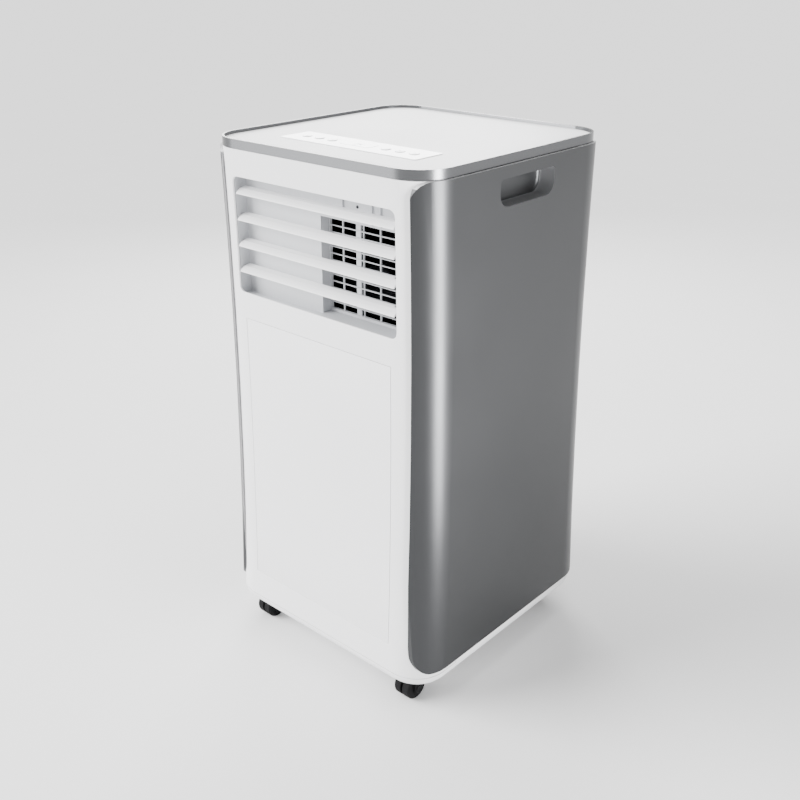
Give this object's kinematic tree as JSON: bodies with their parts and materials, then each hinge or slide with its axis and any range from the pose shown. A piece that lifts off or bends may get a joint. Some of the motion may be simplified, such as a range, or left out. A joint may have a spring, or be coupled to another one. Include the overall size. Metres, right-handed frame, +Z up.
{
  "type": "portable air conditioner",
  "caption": "Upright portable air conditioner on swivel casters, with a louvred front outlet, top controls, side hand grips, rear intake grilles and a round exhaust port.",
  "frame": {"origin": "on the floor under the middle of the cabinet", "axes": "+Z up, -Y towards the front with the louvred outlet, +X to the right seen from the front"},
  "size_m": [0.368, 0.365, 0.7],
  "materials": {
    "white_plastic": "satin moulded, light texture",
    "top_plastic": "fine texture",
    "silver_paint": "satin metallic silver-grey",
    "bright_silver": "satin metallic silver",
    "gloss_white": "gloss",
    "pale_window": "gloss, milky",
    "duct_grey": "satin",
    "black_plastic": "satin",
    "soft_rubber": "matte",
    "bare_aluminium": "mill finish",
    "copper_tube": "bare copper, drawn",
    "dark_steel": "semi-gloss black-grey",
    "compressor_shell": "satin black paint",
    "circuit_board": "matte",
    "filter_mesh": "fine mesh"
  },
  "bodies": {
    "cabinet": {"base_tray": "white_plastic", "front_panel": "white_plastic", "lower_front_cover": "white_plastic", "side_panel_right": "silver_paint", "side_panel_left": "silver_paint", "rear_panel": "white_plastic", "lower_intake_grille": "white_plastic", "top_rim": "bright_silver", "top_plate": "top_plastic", "control_panel": "gloss_white", "display_window": "pale_window", "control_board": "circuit_board", "outlet_duct": "duct_grey", "outlet_guard": "duct_grey", "louver_motor": "dark_steel", "mid_deck": "black_plastic", "evaporator_coil": "bare_aluminium", "evaporator_housing": "black_plastic", "evaporator_motor": "dark_steel", "condenser_coil": "bare_aluminium", "condenser_housing": "black_plastic", "condenser_motor": "dark_steel", "compressor": "compressor_shell", "compressor_mount": "dark_steel", "accumulator": "dark_steel", "suction_pipe": "copper_tube", "discharge_pipe": "copper_tube", "electrical_box": "black_plastic", "capacitor": "bare_aluminium", "exhaust_collar": "duct_grey", "cable_gland": "black_plastic"},
    "button_1": {"button_1": "gloss_white"},
    "button_2": {"button_2": "gloss_white"},
    "button_3": {"button_3": "gloss_white"},
    "button_4": {"button_4": "gloss_white"},
    "button_5": {"button_5": "gloss_white"},
    "button_6": {"button_6": "gloss_white"},
    "louver_1": {"louver_1": "white_plastic"},
    "louver_2": {"louver_2": "white_plastic"},
    "louver_3": {"louver_3": "white_plastic"},
    "louver_4": {"louver_4": "white_plastic"},
    "louver_link": {"louver_link": "black_plastic"},
    "caster_swivel_front_left": {"caster_fork_front_left": "black_plastic"},
    "caster_roller_front_left": {"caster_wheel_front_left": "soft_rubber"},
    "caster_swivel_front_right": {"caster_fork_front_right": "black_plastic"},
    "caster_roller_front_right": {"caster_wheel_front_right": "soft_rubber"},
    "caster_swivel_rear_left": {"caster_fork_rear_left": "black_plastic"},
    "caster_roller_rear_left": {"caster_wheel_rear_left": "soft_rubber"},
    "caster_swivel_rear_right": {"caster_fork_rear_right": "black_plastic"},
    "caster_roller_rear_right": {"caster_wheel_rear_right": "soft_rubber"},
    "evaporator_blower": {"evaporator_blower": "black_plastic"},
    "condenser_blower": {"condenser_blower": "black_plastic"},
    "intake_door": {"upper_intake_grille": "white_plastic", "upper_filter": "filter_mesh"},
    "drain_plug_upper": {"drain_plug_upper": "soft_rubber"},
    "drain_plug_lower": {"drain_plug_lower": "soft_rubber"}
  },
  "joints": [
    {"name": "button_press_1", "type": "slide", "parent": "cabinet", "child": "button_1", "axis": [0, 0, -1], "range_m": [0, 0.001], "stiffness_N_per_m": 400},
    {"name": "button_press_2", "type": "slide", "parent": "cabinet", "child": "button_2", "axis": [0, 0, -1], "range_m": [0, 0.001], "stiffness_N_per_m": 400},
    {"name": "button_press_3", "type": "slide", "parent": "cabinet", "child": "button_3", "axis": [0, 0, -1], "range_m": [0, 0.001], "stiffness_N_per_m": 400},
    {"name": "button_press_4", "type": "slide", "parent": "cabinet", "child": "button_4", "axis": [0, 0, -1], "range_m": [0, 0.001], "stiffness_N_per_m": 400},
    {"name": "button_press_5", "type": "slide", "parent": "cabinet", "child": "button_5", "axis": [0, 0, -1], "range_m": [0, 0.001], "stiffness_N_per_m": 400},
    {"name": "button_press_6", "type": "slide", "parent": "cabinet", "child": "button_6", "axis": [0, 0, -1], "range_m": [0, 0.001], "stiffness_N_per_m": 400},
    {"name": "louver_tilt_1", "type": "hinge", "parent": "cabinet", "child": "louver_1", "pos_m": [0, -0.166, 0.6355], "axis": [1, 0, 0], "range_deg": [-28, 28]},
    {"name": "louver_tilt_2", "type": "hinge", "parent": "cabinet", "child": "louver_2", "pos_m": [0, -0.166, 0.6021], "axis": [1, 0, 0], "range_deg": [-28, 28]},
    {"name": "louver_tilt_3", "type": "hinge", "parent": "cabinet", "child": "louver_3", "pos_m": [0, -0.166, 0.5687], "axis": [1, 0, 0], "range_deg": [-28, 28]},
    {"name": "louver_tilt_4", "type": "hinge", "parent": "cabinet", "child": "louver_4", "pos_m": [0, -0.166, 0.5353], "axis": [1, 0, 0], "range_deg": [-28, 28]},
    {"name": "louver_link_lift", "type": "slide", "parent": "cabinet", "child": "louver_link", "axis": [0, 0, 1], "range_m": [-0.0025, 0.0025]},
    {"name": "caster_turn_front_left", "type": "hinge", "parent": "cabinet", "child": "caster_swivel_front_left", "pos_m": [-0.134, -0.14, 0.045], "axis": [0, 0, 1], "continuous": true},
    {"name": "caster_roll_front_left", "type": "hinge", "parent": "caster_swivel_front_left", "child": "caster_roller_front_left", "pos_m": [-0.134, -0.149, 0.01735], "axis": [1, 0, 0], "continuous": true},
    {"name": "caster_turn_front_right", "type": "hinge", "parent": "cabinet", "child": "caster_swivel_front_right", "pos_m": [0.134, -0.14, 0.045], "axis": [0, 0, 1], "continuous": true},
    {"name": "caster_roll_front_right", "type": "hinge", "parent": "caster_swivel_front_right", "child": "caster_roller_front_right", "pos_m": [0.134, -0.149, 0.01735], "axis": [1, 0, 0], "continuous": true},
    {"name": "caster_turn_rear_left", "type": "hinge", "parent": "cabinet", "child": "caster_swivel_rear_left", "pos_m": [-0.134, 0.14, 0.045], "axis": [0, 0, 1], "continuous": true},
    {"name": "caster_roll_rear_left", "type": "hinge", "parent": "caster_swivel_rear_left", "child": "caster_roller_rear_left", "pos_m": [-0.134, 0.131, 0.01735], "axis": [1, 0, 0], "continuous": true},
    {"name": "caster_turn_rear_right", "type": "hinge", "parent": "cabinet", "child": "caster_swivel_rear_right", "pos_m": [0.134, 0.14, 0.045], "axis": [0, 0, 1], "continuous": true},
    {"name": "caster_roll_rear_right", "type": "hinge", "parent": "caster_swivel_rear_right", "child": "caster_roller_rear_right", "pos_m": [0.134, 0.131, 0.01735], "axis": [1, 0, 0], "continuous": true},
    {"name": "evaporator_blower_spin", "type": "hinge", "parent": "cabinet", "child": "evaporator_blower", "pos_m": [0, 0.05, 0.502], "axis": [0, 1, 0], "continuous": true},
    {"name": "condenser_blower_spin", "type": "hinge", "parent": "cabinet", "child": "condenser_blower", "pos_m": [0.055, 0.08, 0.31], "axis": [0, 1, 0], "continuous": true},
    {"name": "intake_door_pull", "type": "slide", "parent": "cabinet", "child": "intake_door", "axis": [0, 1, 0], "range_m": [0, 0.08]},
    {"name": "drain_plug_upper_pull", "type": "slide", "parent": "cabinet", "child": "drain_plug_upper", "axis": [0, 1, 0], "range_m": [0, 0.03]},
    {"name": "drain_plug_lower_pull", "type": "slide", "parent": "cabinet", "child": "drain_plug_lower", "axis": [0, 1, 0], "range_m": [0, 0.03]}
  ],
  "couplings": [
    {"joint": "louver_tilt_2", "follows": "louver_tilt_1", "ratio": 1},
    {"joint": "louver_tilt_3", "follows": "louver_tilt_1", "ratio": 1},
    {"joint": "louver_tilt_4", "follows": "louver_tilt_1", "ratio": 1},
    {"joint": "louver_link_lift", "follows": "louver_tilt_1", "m_per_rad": 0.005}
  ]
}
